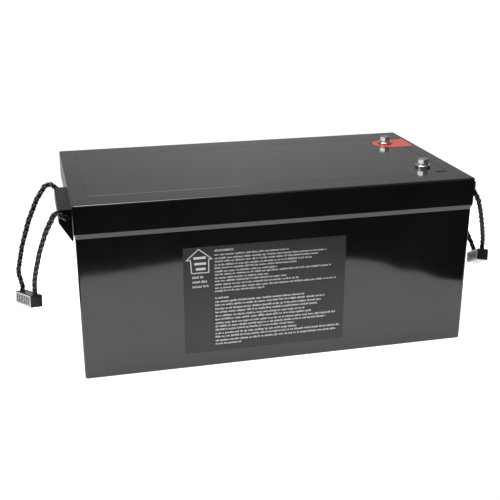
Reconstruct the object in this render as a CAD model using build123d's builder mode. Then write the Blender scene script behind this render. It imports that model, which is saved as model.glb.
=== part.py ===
"""Large sealed battery pack: moulded case, lid with two rope carriers, bolt-down terminals,
and the four-cell pack with its control board inside.

Frame: origin at the centre of the base, +X along the length towards the terminal end,
-Y is the labelled front face, +Z up.  Left is -X and right is +X.  Millimetres.
"""
from build123d import *
import os

os.makedirs("parts", exist_ok=True)

# ---------------------------------------------------------------- case
CASE_H = 220.0                       # base to lid top
BASE_L, BASE_W = 491.0, 262.4        # case at the base
TOP_L, TOP_W = 493.4, 265.4          # case at the shoulder under the lid
WALL = 4.0                           # case wall and floor
CORNER_R = 3.2                       # upright corners of the case
BASE_FILLET = 1.8
SHOULDER_Z = 178.5                   # step that the lid sits over
RIM_Z = 200.0                        # top of the thin rim inside the lid
RIM_L, RIM_W = 489.6, 261.6          # rim outside
RIM_WALL = 2.1
FLOOR_RIB_X = (-227.5, 73.5)
FLOOR_RIB_T, FLOOR_RIB_W, FLOOR_RIB_H = 3.0, 220.0, 9.0

# ---------------------------------------------------------------- lid
LID_L, LID_W = 497.0, 269.0
LID_T = 4.0                          # thickness of the lid's top
SKIRT_Z = 185.4                      # lower edge of the lid's upright skirt
LID_Z = 178.8                        # lowest edge of the lid, below its bevel
LIP_IN = 2.4                         # bevel inset at the lowest edge, per side
RIM_GAP = 0.3                        # lid to case rim, per side
HEADROOM_IN = 4.0                    # inset of the upper cavity from the rim, per side
SEAL_T = 3.0                         # glue bead on top of the rim
SEAL_OUT_IN, SEAL_BORE_IN = 0.1, 3.5   # bead's outer and inner insets from the rim
LID_RIB_X = (110, 150)
LID_RIB_T, LID_RIB_W, LID_RIB_H = 2.4, 240.0, 3.6
LID_RIB_Z = 212.6

PANEL_L, PANEL_Y0, PANEL_Y1 = 456.0, -99.0, 97.0   # inset top panel
PANEL_W, PANEL_Y = PANEL_Y1 - PANEL_Y0, (PANEL_Y0 + PANEL_Y1) / 2
PANEL_T, PANEL_GAP = 1.2, 0.5

# rope carriers on the short sides; X values are distances from the centre
CARRIER_Y0, CARRIER_Y1 = -108.5, -10.5   # ends along Y
CARRIER_W = CARRIER_Y1 - CARRIER_Y0
CARRIER_X = 262.9                    # outer wall
CARRIER_ROOT_X = 246.0               # buried in the lid's skirt
CARRIER_BACK_X = 247.15              # face next to the case below the lid
CARRIER_TOP = 208.4
CARRIER_KNEE = 193.0                 # outer wall changes to the sloping underside here
CARRIER_TIP_X, CARRIER_TIP_Z = 248.6, 168.8
CARRIER_WALL = 2.6                   # end plates, ribs and top
CARRIER_SKIN = 2.2                   # outer wall thickness
BAY_N, BAY_X = 3, 249.4              # hollow bays and their inner face
BAY_W = (CARRIER_W - (BAY_N + 1) * CARRIER_WALL) / BAY_N
EYE_X, EYE_Z, EYE_D = 254.6, 199.8, 9.0   # rope eyes in the carrier's ends and ribs

# ---------------------------------------------------------------- front label, marker
LABEL_L, LABEL_H, LABEL_T = 203.7, 138.5, 0.3
LABEL_X, LABEL_Z = -20.85, 88.75
LABEL_SINK = 0.01                    # offset of the label's plane from the case wall
LEAN = (TOP_W - BASE_W) / 2 / SHOULDER_Z   # outward lean of the front wall

MARKER_X, MARKER_Y, MARKER_R = 210.3, 65.0, 21.5   # rounded end of the marker
MARKER_END_X, MARKER_T = 241.5, 0.35

# ---------------------------------------------------------------- terminals
TERM_X, TERM_Y = 207.0, 66.5         # terminal centres, +Y positive and -Y negative
TERMINALS = [(TERM_X, TERM_Y), (TERM_X, -TERM_Y)]
SEAT_Z = CASE_H + 1.2                # terminal top face
FLANGE_R, FLANGE_CLEAR_R = 9.0, 9.3  # terminal flange and the holes round it
NECK_R, NECK_HOLE_R = 8.0, 8.05      # terminal body and its hole in the lid
BOSS_R, BOSS_Z, BOSS_H = 16.0, 208.0, 8.2
TERM_HEX_R, TERM_HEX_H = 13.0, 5.0   # hexagon below the boss, corner radius and height
TERM_HEX_Z = BOSS_Z - TERM_HEX_H
STUD_Z = 192.0                       # underside of the terminals
STUD_HOLE_R, STUD_HOLE_H = 2.55, 8.5
SHANK_D, BORE_D, BORE_Z = 7.9, 8.0, 202.0   # bolt shank, its bore and the bore's bottom
BOLT_AF, BOLT_HEAD, BOLT_L = 13.0, 5.6, 18.0
WASHER_D, WASHER_T = 20.0, 1.8
WASHER_BORE_R = 4.25
SPRING_D, SPRING_T = 13.4, 2.2
BOLT_HEAD_Z = SEAT_Z + WASHER_T + SPRING_T

# ---------------------------------------------------------------- ropes and their clamps
ROPE_R = 6.3 / 2
LEFT_AXIS_X, LEFT_AXIS_Z = -266.0, 210.5   # crown of the left rope's arch, its swing axis
LEFT_NEAR_Y, LEFT_FAR_Y = -118.0, -1.0     # the two crowns
RIGHT_NEAR_Y, RIGHT_FAR_Y = -112.0, -7.0   # where the right rope leaves its carrier
CUT_SQUARE = 14                      # side of the blocks that trim the left rope's ends

CLAMP_L, CLAMP_T, CLAMP_H = 48.0, 15.0, 15.2
LEG_PITCH = 38.0                     # rope legs where they enter the clamp
ROPE_SINK = -2.2                     # rope's run through the clamp, above the clamp's middle
HALF_GAP = 0.03                      # each shell stands this far off the parting plane
# centre, long axis towards the front, and the axis square to it that points along +X
LEFT_CLAMP = ((-304.3, -62.0, 83.7), (0.380, -0.907, 0.178), (0.923, 0.365, -0.123))
RIGHT_CLAMP = ((299.1, -62.0, 86.2), (-0.147, -0.887, 0.438), (0.970, -0.216, -0.112))

# ---------------------------------------------------------------- cell stack
CELL_T, CELL_W, CELL_H = 71.5, 174.0, 200.0
CELL_Z = 6.0
CELL_N = 4
CELL_PITCH = 72.6
CELL_X = [-187.0 + i * CELL_PITCH for i in range(CELL_N)]   # cell centres, left to right
STACK_X0, STACK_X1 = CELL_X[0] - CELL_T / 2, CELL_X[-1] + CELL_T / 2
STACK_X, STACK_L = (STACK_X0 + STACK_X1) / 2, STACK_X1 - STACK_X0
STACK_TOP = CELL_Z + CELL_H
POST_Y = 61.5
POST_R, POST_H = 9.0, 3.0
POST_STUD_R, POST_STUD_H = 2.9, 5.4
BAR_Z, BAR_T, BAR_W = STACK_TOP + POST_H, 2.0, 22.0
END_T = 3.0                          # end plates
STRAP_T, STRAP_H = 0.8, 16.0
STRAP_Z = (52.0, 152.0)              # lower edges of the two straps
SIDE_PAD_Y, SIDE_PAD_W, SIDE_PAD_H = 107.0, 35.0, 168.0
NUT_AF, NUT_H = 10.0, 3.2

# ---------------------------------------------------------------- control board, stood on end
BMS_X = STACK_X1 + END_T + STRAP_T + 0.4   # left face of the carrier
BMS_Z = 108.0                        # centre height of carrier and board
MOUNT_Y, MOUNT_Z = 146.0, 104.0      # spacing of the four mounting holes
MOUNT_R = 2.2
BMS_CARRIER_T, STANDOFF_R, STANDOFF_H = 3.0, 5.0, 6.0
BOARD_X, BOARD_T = BMS_X + BMS_CARRIER_T + STANDOFF_H, 1.6
PAD_X = BOARD_X + BOARD_T            # right face of the board
PAD_Y, PAD_Z = 60.0, 86.0            # lead holes in the board, at +Y and -Y
MOSFET_Z, MOSFET_T = 126.0, 4.4
HEATSINK_X, HEATSINK_T, HEATSINK_H = PAD_X + MOSFET_T, 4.0, 52.0
FIN_N, FIN_PITCH, FIN_T, FIN_H = 17, 7.8, 2.0, 13.0
SCREW_START = 0.5                    # screw tips, right of the carrier's left face

# ---------------------------------------------------------------- leads, lugs and wiring
LEAD_R = 3.9
LUG_T = 3.0
LUG_R, LUG_HOLE_R = 9.0, 3.1
LUG_OUT = 5.75                       # barrel centre above the palm's seat, free-standing lugs
LUG_TOP = 1.9                        # the same for the cranked lugs on the cell posts
BARREL_AT, BARREL_L, BARREL_R = 11.0, 13.0, 4.72   # distance from the stud, length, radius
BARREL_STOP = 1.0                    # solid back of the barrel
LEAD_AT = BARREL_AT + BARREL_STOP + 0.1   # stud to the end of the lead
LEAD_X = PAD_X + LUG_OUT             # leads in front of the control board
LEAD_TERM_Z = STUD_Z - LUG_OUT       # leads under the terminals

PLUG_Z, PLUG_W, PLUG_H, PLUG_D = 155.0, 22.0, 7.0, 7.5
PIN_X, PIN_Z = PAD_X + 3.8, PLUG_Z + 3.4   # where the wires start in the plug
PIN_PITCH, PIN_N = 3.0, 6
WIRE_R, PROBE_WIRE_R = 0.8, 0.7
WIRE_Z = STACK_TOP + 2.4             # wires across the top of the stack
WIRE_BEND = 4.0
PROBE_Y = -1.5


# ================================================================ helpers
def save(name, builder):
    """Label a finished piece and write its file."""
    builder.part.label = name
    export_step(builder.part, f"parts/{name}.step")


def front_plane(x, y, z):
    """Upright plane that faces the front, X to the right and Z up."""
    return Plane(origin=(x, y, z), x_dir=(1, 0, 0), z_dir=(0, -1, 0))


def start_plane(line):
    """Plane square to a line at its start."""
    return Plane(origin=line @ 0, z_dir=line % 0)


def save_tube(name, points, bends, radius):
    """Round bar along a polyline with rounded bends."""
    with BuildPart() as tube:
        with BuildLine() as run:
            FilletPolyline(*points, radius=bends)
        with BuildSketch(start_plane(run.line)):
            Circle(radius)
        sweep()
    save(name, tube)


# ================================================================ case
def build_container():
    with BuildPart() as container:
        with BuildSketch(Plane.XY):
            RectangleRounded(BASE_L, BASE_W, CORNER_R)
        with BuildSketch(Plane.XY.offset(SHOULDER_Z)):
            RectangleRounded(TOP_L, TOP_W, CORNER_R)
        loft()
        fillet(container.faces().sort_by(Axis.Z)[0].edges(), BASE_FILLET)
        # thin rim that stands inside the lid
        with BuildSketch(Plane.XY.offset(SHOULDER_Z)):
            RectangleRounded(RIM_L, RIM_W, CORNER_R)
        extrude(amount=RIM_Z - SHOULDER_Z)
        # cavity
        with BuildSketch(Plane.XY.offset(WALL)):
            RectangleRounded(BASE_L - 2 * WALL, BASE_W - 2 * WALL, 3.0)
        with BuildSketch(Plane.XY.offset(RIM_Z)):
            RectangleRounded(RIM_L - 2 * RIM_WALL, RIM_W - 2 * RIM_WALL, 3.0)
        loft(mode=Mode.SUBTRACT)
        # locating ribs on the floor at either end of the cell stack
        with BuildSketch(Plane.XY.offset(WALL)):
            with Locations(*[(x, 0) for x in FLOOR_RIB_X]):
                Rectangle(FLOOR_RIB_T, FLOOR_RIB_W)
        extrude(amount=FLOOR_RIB_H)
    save("container", container)


# ================================================================ lid
def build_lid():
    """Lid with the two rope carriers."""
    with BuildPart() as lid:
        with BuildSketch(Plane.XY.offset(LID_Z)):
            RectangleRounded(LID_L - 2 * LIP_IN, LID_W - 2 * LIP_IN, 2.4)
        with BuildSketch(Plane.XY.offset(SKIRT_Z)):
            RectangleRounded(LID_L, LID_W, 3.0)
        loft()
        with BuildSketch(Plane.XY.offset(SKIRT_Z)):
            RectangleRounded(LID_L, LID_W, 3.0)
        extrude(amount=CASE_H - SKIRT_Z)
        fillet(lid.faces().sort_by(Axis.Z)[-1].edges(), 2.0)
        # rope carriers: gusset blocks low on the short sides
        for side in (-1, 1):
            with BuildSketch(front_plane(0, CARRIER_Y0, 0)):
                with BuildLine():
                    Polyline((side * CARRIER_ROOT_X, CARRIER_TOP),
                             (side * CARRIER_X, CARRIER_TOP),
                             (side * CARRIER_X, CARRIER_KNEE),
                             (side * CARRIER_TIP_X, CARRIER_TIP_Z),
                             (side * CARRIER_BACK_X, CARRIER_TIP_Z + 2.8),
                             (side * CARRIER_BACK_X, LID_Z + 0.6),
                             (side * CARRIER_ROOT_X, LID_Z + 2.0),
                             (side * CARRIER_ROOT_X, CARRIER_TOP))
                make_face()
            extrude(amount=-CARRIER_W)
        # round the carriers' top outer edges
        fillet(lid.edges().filter_by(Axis.Y).filter_by(
            lambda e: abs(abs(e.center().X) - CARRIER_X) < 0.2
            and abs(e.center().Z - CARRIER_TOP) < 0.2), 2.0)
        # core the carriers out from their sloping underside, leaving end plates and two ribs
        for side in (-1, 1):
            for k in range(BAY_N):
                bay_y = CARRIER_Y0 + CARRIER_WALL + k * (BAY_W + CARRIER_WALL)
                with BuildSketch(front_plane(0, bay_y, 0)):
                    with BuildLine():
                        Polyline((side * BAY_X, CARRIER_TOP - CARRIER_WALL),
                                 (side * (CARRIER_X - CARRIER_SKIN), CARRIER_TOP - CARRIER_WALL),
                                 (side * (CARRIER_X - CARRIER_SKIN), CARRIER_KNEE - 6.0),
                                 (side * BAY_X, CARRIER_TIP_Z - 8.0),
                                 (side * BAY_X, CARRIER_TOP - CARRIER_WALL))
                    make_face()
                extrude(amount=-BAY_W, mode=Mode.SUBTRACT)
        # rope eyes
        for side in (-1, 1):
            with BuildSketch(front_plane(side * EYE_X, CARRIER_Y0 - 1, EYE_Z)):
                Circle(EYE_D / 2)
            extrude(amount=-(CARRIER_W + 2), mode=Mode.SUBTRACT)
        # cavity: lower step takes the case rim and its glue bead, upper step is the headroom
        with BuildSketch(Plane.XY.offset(LID_Z)):
            RectangleRounded(RIM_L + 2 * RIM_GAP, RIM_W + 2 * RIM_GAP, 3.8)
        extrude(amount=RIM_Z + SEAL_T - LID_Z, mode=Mode.SUBTRACT)
        with BuildSketch(Plane.XY.offset(RIM_Z + SEAL_T)):
            RectangleRounded(RIM_L - 2 * HEADROOM_IN, RIM_W - 2 * HEADROOM_IN, 3.0)
        extrude(amount=CASE_H - LID_T - RIM_Z - SEAL_T, mode=Mode.SUBTRACT)
        # shallow seat for the top panel
        with BuildSketch(Plane.XY.offset(CASE_H - PANEL_T)):
            with Locations((0, PANEL_Y)):
                RectangleRounded(PANEL_L + 2 * PANEL_GAP, PANEL_W + 2 * PANEL_GAP, 2.0)
        extrude(amount=PANEL_T + 1, mode=Mode.SUBTRACT)
        # bosses under the terminals
        with BuildSketch(Plane.XY.offset(BOSS_Z)):
            with Locations(*TERMINALS):
                Circle(BOSS_R)
        extrude(amount=BOSS_H)
        with BuildSketch(Plane.XY.offset(BOSS_Z - 8.0)):
            with Locations(*TERMINALS):
                Circle(NECK_HOLE_R)
        extrude(amount=25.0, mode=Mode.SUBTRACT)
        # stiffening ribs on the underside
        with BuildSketch(Plane.XY.offset(LID_RIB_Z)):
            with Locations(*[(x, 0) for x in LID_RIB_X]):
                Rectangle(LID_RIB_T, LID_RIB_W)
        extrude(amount=LID_RIB_H)
    save("lid", lid)


def build_lid_seal():
    with BuildPart() as seal:
        with BuildSketch(Plane.XY.offset(RIM_Z)):
            RectangleRounded(RIM_L - 2 * SEAL_OUT_IN, RIM_W - 2 * SEAL_OUT_IN, 3.4)
            RectangleRounded(RIM_L - 2 * SEAL_BORE_IN, RIM_W - 2 * SEAL_BORE_IN, 1.5,
                             mode=Mode.SUBTRACT)
        extrude(amount=SEAL_T)
    save("lid_seal", seal)


def build_top_panel():
    with BuildPart() as panel:
        with BuildSketch(Plane.XY.offset(CASE_H - PANEL_T)):
            with Locations((0, PANEL_Y)):
                RectangleRounded(PANEL_L, PANEL_W, 1.6)
            with Locations(*TERMINALS):
                Circle(FLANGE_CLEAR_R, mode=Mode.SUBTRACT)
        extrude(amount=PANEL_T)
        chamfer(panel.faces().sort_by(Axis.Z)[-1].outer_wire().edges(), 0.12)
    save("top_panel", panel)


def build_front_label():
    """Label that lies on the leaning front wall."""
    label_y = -(BASE_W / 2 + LEAN * LABEL_Z) - LABEL_SINK
    with BuildPart() as label:
        with BuildSketch(Plane(origin=(LABEL_X, label_y, LABEL_Z),
                               x_dir=(1, 0, 0), z_dir=(0, -1, -LEAN))):
            RectangleRounded(LABEL_L, LABEL_H, 1.0)
        extrude(amount=LABEL_T)
    save("front_label", label)


def build_positive_marker():
    """Thin tongue under the positive bolt."""
    with BuildPart() as marker:
        with BuildSketch(Plane.XY.offset(CASE_H)):
            with Locations((MARKER_X, MARKER_Y)):
                Circle(MARKER_R)
            with Locations(((MARKER_X + MARKER_END_X) / 2, MARKER_Y)):
                Rectangle(MARKER_END_X - MARKER_X, 2 * MARKER_R)
            with Locations((TERM_X, TERM_Y)):
                Circle(FLANGE_CLEAR_R, mode=Mode.SUBTRACT)
        extrude(amount=MARKER_T)
    save("positive_marker", marker)


# ================================================================ terminals
def build_terminal(pole, y):
    with BuildPart() as terminal:
        # flange, neck, hexagon and lower stem
        with BuildSketch(Plane.XY.offset(CASE_H)):
            with Locations((TERM_X, y)):
                Circle(FLANGE_R)
        extrude(amount=SEAT_Z - CASE_H)
        with BuildSketch(Plane.XY.offset(BOSS_Z)):
            with Locations((TERM_X, y)):
                Circle(NECK_R)
        extrude(amount=CASE_H - BOSS_Z)
        with BuildSketch(Plane.XY.offset(TERM_HEX_Z)):
            with Locations((TERM_X, y)):
                RegularPolygon(TERM_HEX_R, 6)
        extrude(amount=TERM_HEX_H)
        with BuildSketch(Plane.XY.offset(STUD_Z)):
            with Locations((TERM_X, y)):
                Circle(NECK_R)
        extrude(amount=TERM_HEX_Z - STUD_Z)
        # bolt bore from above, stud hole from below
        with Locations((TERM_X, y, SEAT_Z)):
            Hole(BORE_D / 2, depth=SEAT_Z - BORE_Z)
        with BuildSketch(Plane.XY.offset(STUD_Z)):
            with Locations((TERM_X, y)):
                Circle(STUD_HOLE_R)
        extrude(amount=STUD_HOLE_H, mode=Mode.SUBTRACT)
        chamfer(terminal.edges().filter_by(GeomType.CIRCLE).filter_by(
            lambda e: abs(e.center().Z - SEAT_Z) < 0.01 and abs(e.radius - FLANGE_R) < 0.01), 0.4)
    save(f"{pole}_terminal", terminal)


def build_flat_washer(pole, y):
    with BuildPart() as washer:
        with BuildSketch(Plane.XY.offset(SEAT_Z)):
            with Locations((TERM_X, y)):
                Circle(WASHER_D / 2)
                Circle(WASHER_BORE_R, mode=Mode.SUBTRACT)
        extrude(amount=WASHER_T)
        chamfer(washer.edges().filter_by(GeomType.CIRCLE).filter_by(
            lambda e: abs(e.radius - WASHER_D / 2) < 0.01), 0.35)
    save(f"{pole}_flat_washer", washer)


def build_spring_washer(pole, y):
    """Ring split by a slanting slot."""
    with BuildPart() as washer:
        with BuildSketch(Plane.XY.offset(SEAT_Z + WASHER_T)):
            with Locations((TERM_X, y)):
                Circle(SPRING_D / 2)
                Circle(WASHER_BORE_R, mode=Mode.SUBTRACT)
                with Locations((-5.5, -3.0)):
                    Rectangle(6.0, 0.7, rotation=28, mode=Mode.SUBTRACT)
        extrude(amount=SPRING_T)
    save(f"{pole}_spring_washer", washer)


def build_bolt(pole, y):
    head_top = BOLT_HEAD_Z + BOLT_HEAD
    turn_bottom, turn_r = BOLT_HEAD_Z - 30, 8.6   # clears all but the crown of the head
    with BuildPart() as bolt:
        with BuildSketch(Plane.XY.offset(BOLT_HEAD_Z)):
            with Locations((TERM_X, y)):
                RegularPolygon(BOLT_AF / 2, 6, major_radius=False, rotation=12)
        extrude(amount=BOLT_HEAD)
        # crown of the head turned to a cone
        with BuildSketch(front_plane(TERM_X, y, 0)):
            with BuildLine():
                Polyline((0, turn_bottom), (turn_r, turn_bottom), (turn_r, head_top - 1.35),
                         (6.1, head_top), (0, head_top), (0, turn_bottom))
            make_face()
        revolve(axis=Axis((TERM_X, y, 0), (0, 0, 1)), mode=Mode.INTERSECT)
        with BuildSketch(Plane.XY.offset(BOLT_HEAD_Z - BOLT_L)):
            with Locations((TERM_X, y)):
                Circle(SHANK_D / 2)
        extrude(amount=BOLT_L)
        chamfer(bolt.faces().sort_by(Axis.Z)[0].edges(), 0.8)
    save(f"{pole}_bolt", bolt)


# ================================================================ ropes
def clamp_frame(clamp):
    """Unit long, cross and up axes of a clamp."""
    _, long_axis, cross_axis = clamp
    along = Vector(*long_axis).normalized()
    cross = Vector(*cross_axis)
    cross = (cross - along * cross.dot(along)).normalized()
    return along, cross, along.cross(cross)


def through_clamp(clamp, entry):
    """Rope points down one leg, through the clamp and up the other, from `entry` above it."""
    along, _, up = clamp_frame(clamp)
    half = LEG_PITCH / 2
    points = []
    for reach, height in ((half, entry), (half, ROPE_SINK), (-half, ROPE_SINK), (-half, entry)):
        point = Vector(*clamp[0]) + along * reach + up * height
        points.append((point.X, point.Y, point.Z))
    return points


# loop centre lines from the front end to the back end, and the radius at each inner point
LEFT_PATH = [
    (LEFT_AXIS_X, LEFT_NEAR_Y, LEFT_AXIS_Z), (-270.6, -116.4, 201.0), (-278.4, -109.0, 183.5),
    (-286.8, -98.5, 157.0), (-293.0, -88.0, 130.0), (-295.8, -79.6, 112.5),
    *through_clamp(LEFT_CLAMP, 14.0),
    (-314.8, -36.5, 110.0), (-307.8, -25.5, 139.0), (-297.2, -15.5, 169.0),
    (-285.3, -7.0, 193.4), (-273.3, -1.4, 209.6), (LEFT_AXIS_X, LEFT_FAR_Y, LEFT_AXIS_Z)]
LEFT_BENDS = [8, 25, 30, 30, 25, 10, 6, 6, 10, 22, 30, 30, 25, 6]
RIGHT_PATH = [
    (EYE_X, RIGHT_NEAR_Y, EYE_Z), (EYE_X, RIGHT_NEAR_Y - 7.5, EYE_Z), (264.6, -116.0, 185.0),
    (274.8, -105.8, 165.0), (285.8, -93.5, 138.5), (295.5, -80.0, 116.5),
    *through_clamp(RIGHT_CLAMP, 13.0),
    (300.5, -26.0, 107.0), (293.0, -14.0, 128.0), (280.0, -4.0, 156.0),
    (268.0, -0.5, 180.0), (EYE_X, RIGHT_FAR_Y + 7.5, EYE_Z), (EYE_X, RIGHT_FAR_Y, EYE_Z)]
RIGHT_BENDS = [5.5, 25, 30, 30, 12, 9, 6, 6, 9, 14, 25, 30, 25, 4.5]


def build_left_rope_core():
    """The length that stays in the carrier: through the eyes, then up and out to the crowns."""
    with BuildPart() as core:
        with BuildLine() as run:
            FilletPolyline((LEFT_AXIS_X, LEFT_NEAR_Y, LEFT_AXIS_Z),
                           (-EYE_X, LEFT_NEAR_Y + 0.5, EYE_Z),
                           (-EYE_X, LEFT_FAR_Y - 0.5, EYE_Z),
                           (LEFT_AXIS_X, LEFT_FAR_Y, LEFT_AXIS_Z), radius=5.0)
        with BuildSketch(start_plane(run.line)):
            Circle(ROPE_R)
        sweep()
        # each end stops just short of the swinging loop
        for crown_y in (LEFT_NEAR_Y, LEFT_FAR_Y):
            crown = (LEFT_AXIS_X, crown_y, LEFT_AXIS_Z)
            with Locations(crown):
                Sphere(ROPE_R + 0.08, mode=Mode.SUBTRACT)
            # trim up and outwards, then down and inwards
            for direction, depth in (((-0.80, 0.0, 0.55), 8.0),
                                     ((0.80, 0.0, -0.55), ROPE_R + 1.5)):
                with BuildSketch(Plane(origin=crown, x_dir=(0, 1, 0), z_dir=direction)):
                    Rectangle(CUT_SQUARE, CUT_SQUARE)
                extrude(amount=depth, mode=Mode.SUBTRACT)
    save("left_rope_core", core)


def build_left_rope_loop():
    """Swinging loop with a ball at each crown."""
    with BuildPart() as loop:
        with BuildLine() as run:
            FilletPolyline(*LEFT_PATH, radius=LEFT_BENDS)
        with BuildSketch(start_plane(run.line)):
            Circle(ROPE_R)
        sweep()
        for crown_y in (LEFT_NEAR_Y, LEFT_FAR_Y):
            with Locations((LEFT_AXIS_X, crown_y, LEFT_AXIS_Z)):
                Sphere(ROPE_R)
    save("left_rope_loop", loop)


def build_right_rope_core():
    """Straight length in the carrier, just short of the loop at both ends."""
    end_gap = 0.06
    with BuildPart() as core:
        with BuildSketch(Plane(origin=(EYE_X, RIGHT_NEAR_Y + end_gap, EYE_Z), z_dir=(0, 1, 0))):
            Circle(ROPE_R)
        extrude(amount=RIGHT_FAR_Y - RIGHT_NEAR_Y - 2 * end_gap)
    save("right_rope_core", core)


def build_clamp(side, clamp, path, bends):
    """Two shells closed round the rope's bend; the outer one is away from the case."""
    along, cross, _ = clamp_frame(clamp)
    outward = cross if side == "right" else -cross
    for half, normal in (("outer", outward), ("inner", -outward)):
        face = Plane(origin=Vector(*clamp[0]) + normal * HALF_GAP, x_dir=along, z_dir=normal)
        with BuildPart() as shell:
            with BuildSketch(face):
                RectangleRounded(CLAMP_L, CLAMP_H, 1.4)
            extrude(amount=CLAMP_T / 2)
            chamfer(shell.faces().filter_by(
                lambda f: f.normal_at().dot(normal) > 0.99)[0].edges(), 0.7)
            # sunk panel with upright bars on the broad face
            with BuildSketch(face.offset(CLAMP_T / 2)):
                RectangleRounded(CLAMP_L - 9.0, CLAMP_H - 5.2, 1.2)
                with GridLocations(5.6, 0, 6, 1):
                    Rectangle(1.7, CLAMP_H, mode=Mode.SUBTRACT)
            extrude(amount=-0.8, mode=Mode.SUBTRACT)
            # rope channel, along the part of the loop near the clamp
            with BuildLine() as bend:
                FilletPolyline(*path[5:11], radius=bends[5:9])
            with BuildSketch(start_plane(bend.line)):
                Circle(ROPE_R + 0.05)
            sweep(mode=Mode.SUBTRACT)
        save(f"{side}_clamp_{half}", shell)


# ================================================================ cell stack
def build_base_pad():
    with BuildPart() as pad:
        with BuildSketch(Plane.XY.offset(WALL)):
            with Locations((STACK_X, 0)):
                Rectangle(STACK_L, CELL_W)
        extrude(amount=CELL_Z - WALL)
    save("base_pad", pad)


def build_cell(name, x):
    """Prismatic cell with a shallow slot in its top."""
    with BuildPart() as cell:
        with BuildSketch(Plane.XY.offset(CELL_Z)):
            with Locations((x, 0)):
                RectangleRounded(CELL_T, CELL_W, 3.0)
        extrude(amount=CELL_H)
        fillet(cell.faces().sort_by(Axis.Z)[-1].edges(), 0.8)
        with BuildSketch(Plane.XY.offset(STACK_TOP)):
            with Locations((x, 0)):
                SlotOverall(34.0, 18.0, rotation=90)
        extrude(amount=-0.6, mode=Mode.SUBTRACT)
    save(name, cell)


def build_cell_posts():
    """Two posts on each cell, each with a stud on top."""
    with BuildPart() as posts:
        for z, radius, height in ((STACK_TOP, POST_R, POST_H), (BAR_Z, POST_STUD_R, POST_STUD_H)):
            with BuildSketch(Plane.XY.offset(z)):
                for x in CELL_X:
                    with Locations((x, POST_Y), (x, -POST_Y)):
                        Circle(radius)
            extrude(amount=height)
    save("cell_posts", posts)


def build_cell_separators():
    with BuildPart() as separators:
        with BuildSketch(Plane.XY.offset(CELL_Z)):
            for i in range(CELL_N - 1):
                with Locations(((CELL_X[i] + CELL_X[i + 1]) / 2, 0)):
                    Rectangle(CELL_PITCH - CELL_T, CELL_W)
        extrude(amount=CELL_H - 2.0)
    save("cell_separators", separators)


def build_end_plate(name, x):
    with BuildPart() as plate:
        with BuildSketch(Plane.XY.offset(CELL_Z)):
            with Locations((x, 0)):
                Rectangle(END_T, CELL_W)
        extrude(amount=CELL_H - 6.0)
        fillet(plate.edges().filter_by(Axis.X), 5.0)
    save(name, plate)


def build_pack_straps():
    """Two bands round the stack and its end plates."""
    inside_l = STACK_L + 2 * END_T
    with BuildPart() as straps:
        for z in STRAP_Z:
            with BuildSketch(Plane.XY.offset(z)):
                with Locations((STACK_X, 0)):
                    Rectangle(inside_l + 2 * STRAP_T, CELL_W + 2 * STRAP_T)
                    Rectangle(inside_l, CELL_W, mode=Mode.SUBTRACT)
            extrude(amount=STRAP_H)
    save("pack_straps", straps)


def build_side_pads():
    with BuildPart() as pads:
        with BuildSketch(Plane.XY.offset(WALL + 0.5)):
            with Locations((STACK_X, SIDE_PAD_Y), (STACK_X, -SIDE_PAD_Y)):
                Rectangle(STACK_L - 12.0, SIDE_PAD_W)
        extrude(amount=SIDE_PAD_H)
        fillet(pads.edges().filter_by(Axis.Z), 4.0)
    save("side_pads", pads)


def build_series_busbars():
    """Bars between neighbouring cells, front and back in turn."""
    with BuildPart() as bars:
        for i, y in ((0, -POST_Y), (1, POST_Y), (2, -POST_Y)):
            with BuildSketch(Plane.XY.offset(BAR_Z)):
                with Locations(((CELL_X[i] + CELL_X[i + 1]) / 2, y)):
                    RectangleRounded(CELL_PITCH + BAR_W, BAR_W, 4.0)
                with Locations((CELL_X[i], y), (CELL_X[i + 1], y)):
                    Circle(3.3, mode=Mode.SUBTRACT)
            extrude(amount=BAR_T)
    save("series_busbars", bars)


def build_busbar_nuts():
    """A nut on every post, over a lug at the back of the end cells and over a bar elsewhere."""
    with BuildPart() as nuts:
        for i, x in enumerate(CELL_X):
            for y in (-POST_Y, POST_Y):
                on_lug = y > 0 and i in (0, CELL_N - 1)
                with BuildSketch(Plane.XY.offset(BAR_Z + (LUG_T if on_lug else BAR_T))):
                    with Locations((x, y)):
                        RegularPolygon(NUT_AF / 2, 6, major_radius=False)
                        Circle(POST_STUD_R + 0.05, mode=Mode.SUBTRACT)
                extrude(amount=NUT_H)
    save("busbar_nuts", nuts)


def build_insulation_board():
    with BuildPart() as board:
        with BuildSketch(Plane.XY.offset(STACK_TOP)):
            with Locations((STACK_X, 0)):
                Rectangle(STACK_L, 94.0)
        extrude(amount=1.0)
    save("insulation_board", board)


# ================================================================ control board
def build_bms_carrier():
    """Upright plate with four standoffs."""
    with BuildPart() as carrier:
        with BuildSketch(Plane.YZ.offset(BMS_X)):
            with Locations((0, BMS_Z)):
                RectangleRounded(168.0, 176.0, 6.0)
                with GridLocations(MOUNT_Y, MOUNT_Z, 2, 2):
                    Circle(MOUNT_R, mode=Mode.SUBTRACT)
        extrude(amount=BMS_CARRIER_T)
        with BuildSketch(Plane.YZ.offset(BMS_X + BMS_CARRIER_T)):
            with Locations((0, BMS_Z)):
                with GridLocations(MOUNT_Y, MOUNT_Z, 2, 2):
                    Circle(STANDOFF_R)
                    Circle(MOUNT_R, mode=Mode.SUBTRACT)
        extrude(amount=STANDOFF_H)
    save("bms_carrier", carrier)


def build_bms_board():
    with BuildPart() as board:
        with BuildSketch(Plane.YZ.offset(BOARD_X)):
            with Locations((0, BMS_Z)):
                RectangleRounded(158.0, 116.0, 3.0)
                with GridLocations(MOUNT_Y, MOUNT_Z, 2, 2):
                    Circle(MOUNT_R, mode=Mode.SUBTRACT)
            with Locations((-PAD_Y, PAD_Z), (PAD_Y, PAD_Z)):
                Circle(3.2, mode=Mode.SUBTRACT)
        extrude(amount=BOARD_T)
    save("bms_board", board)


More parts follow.
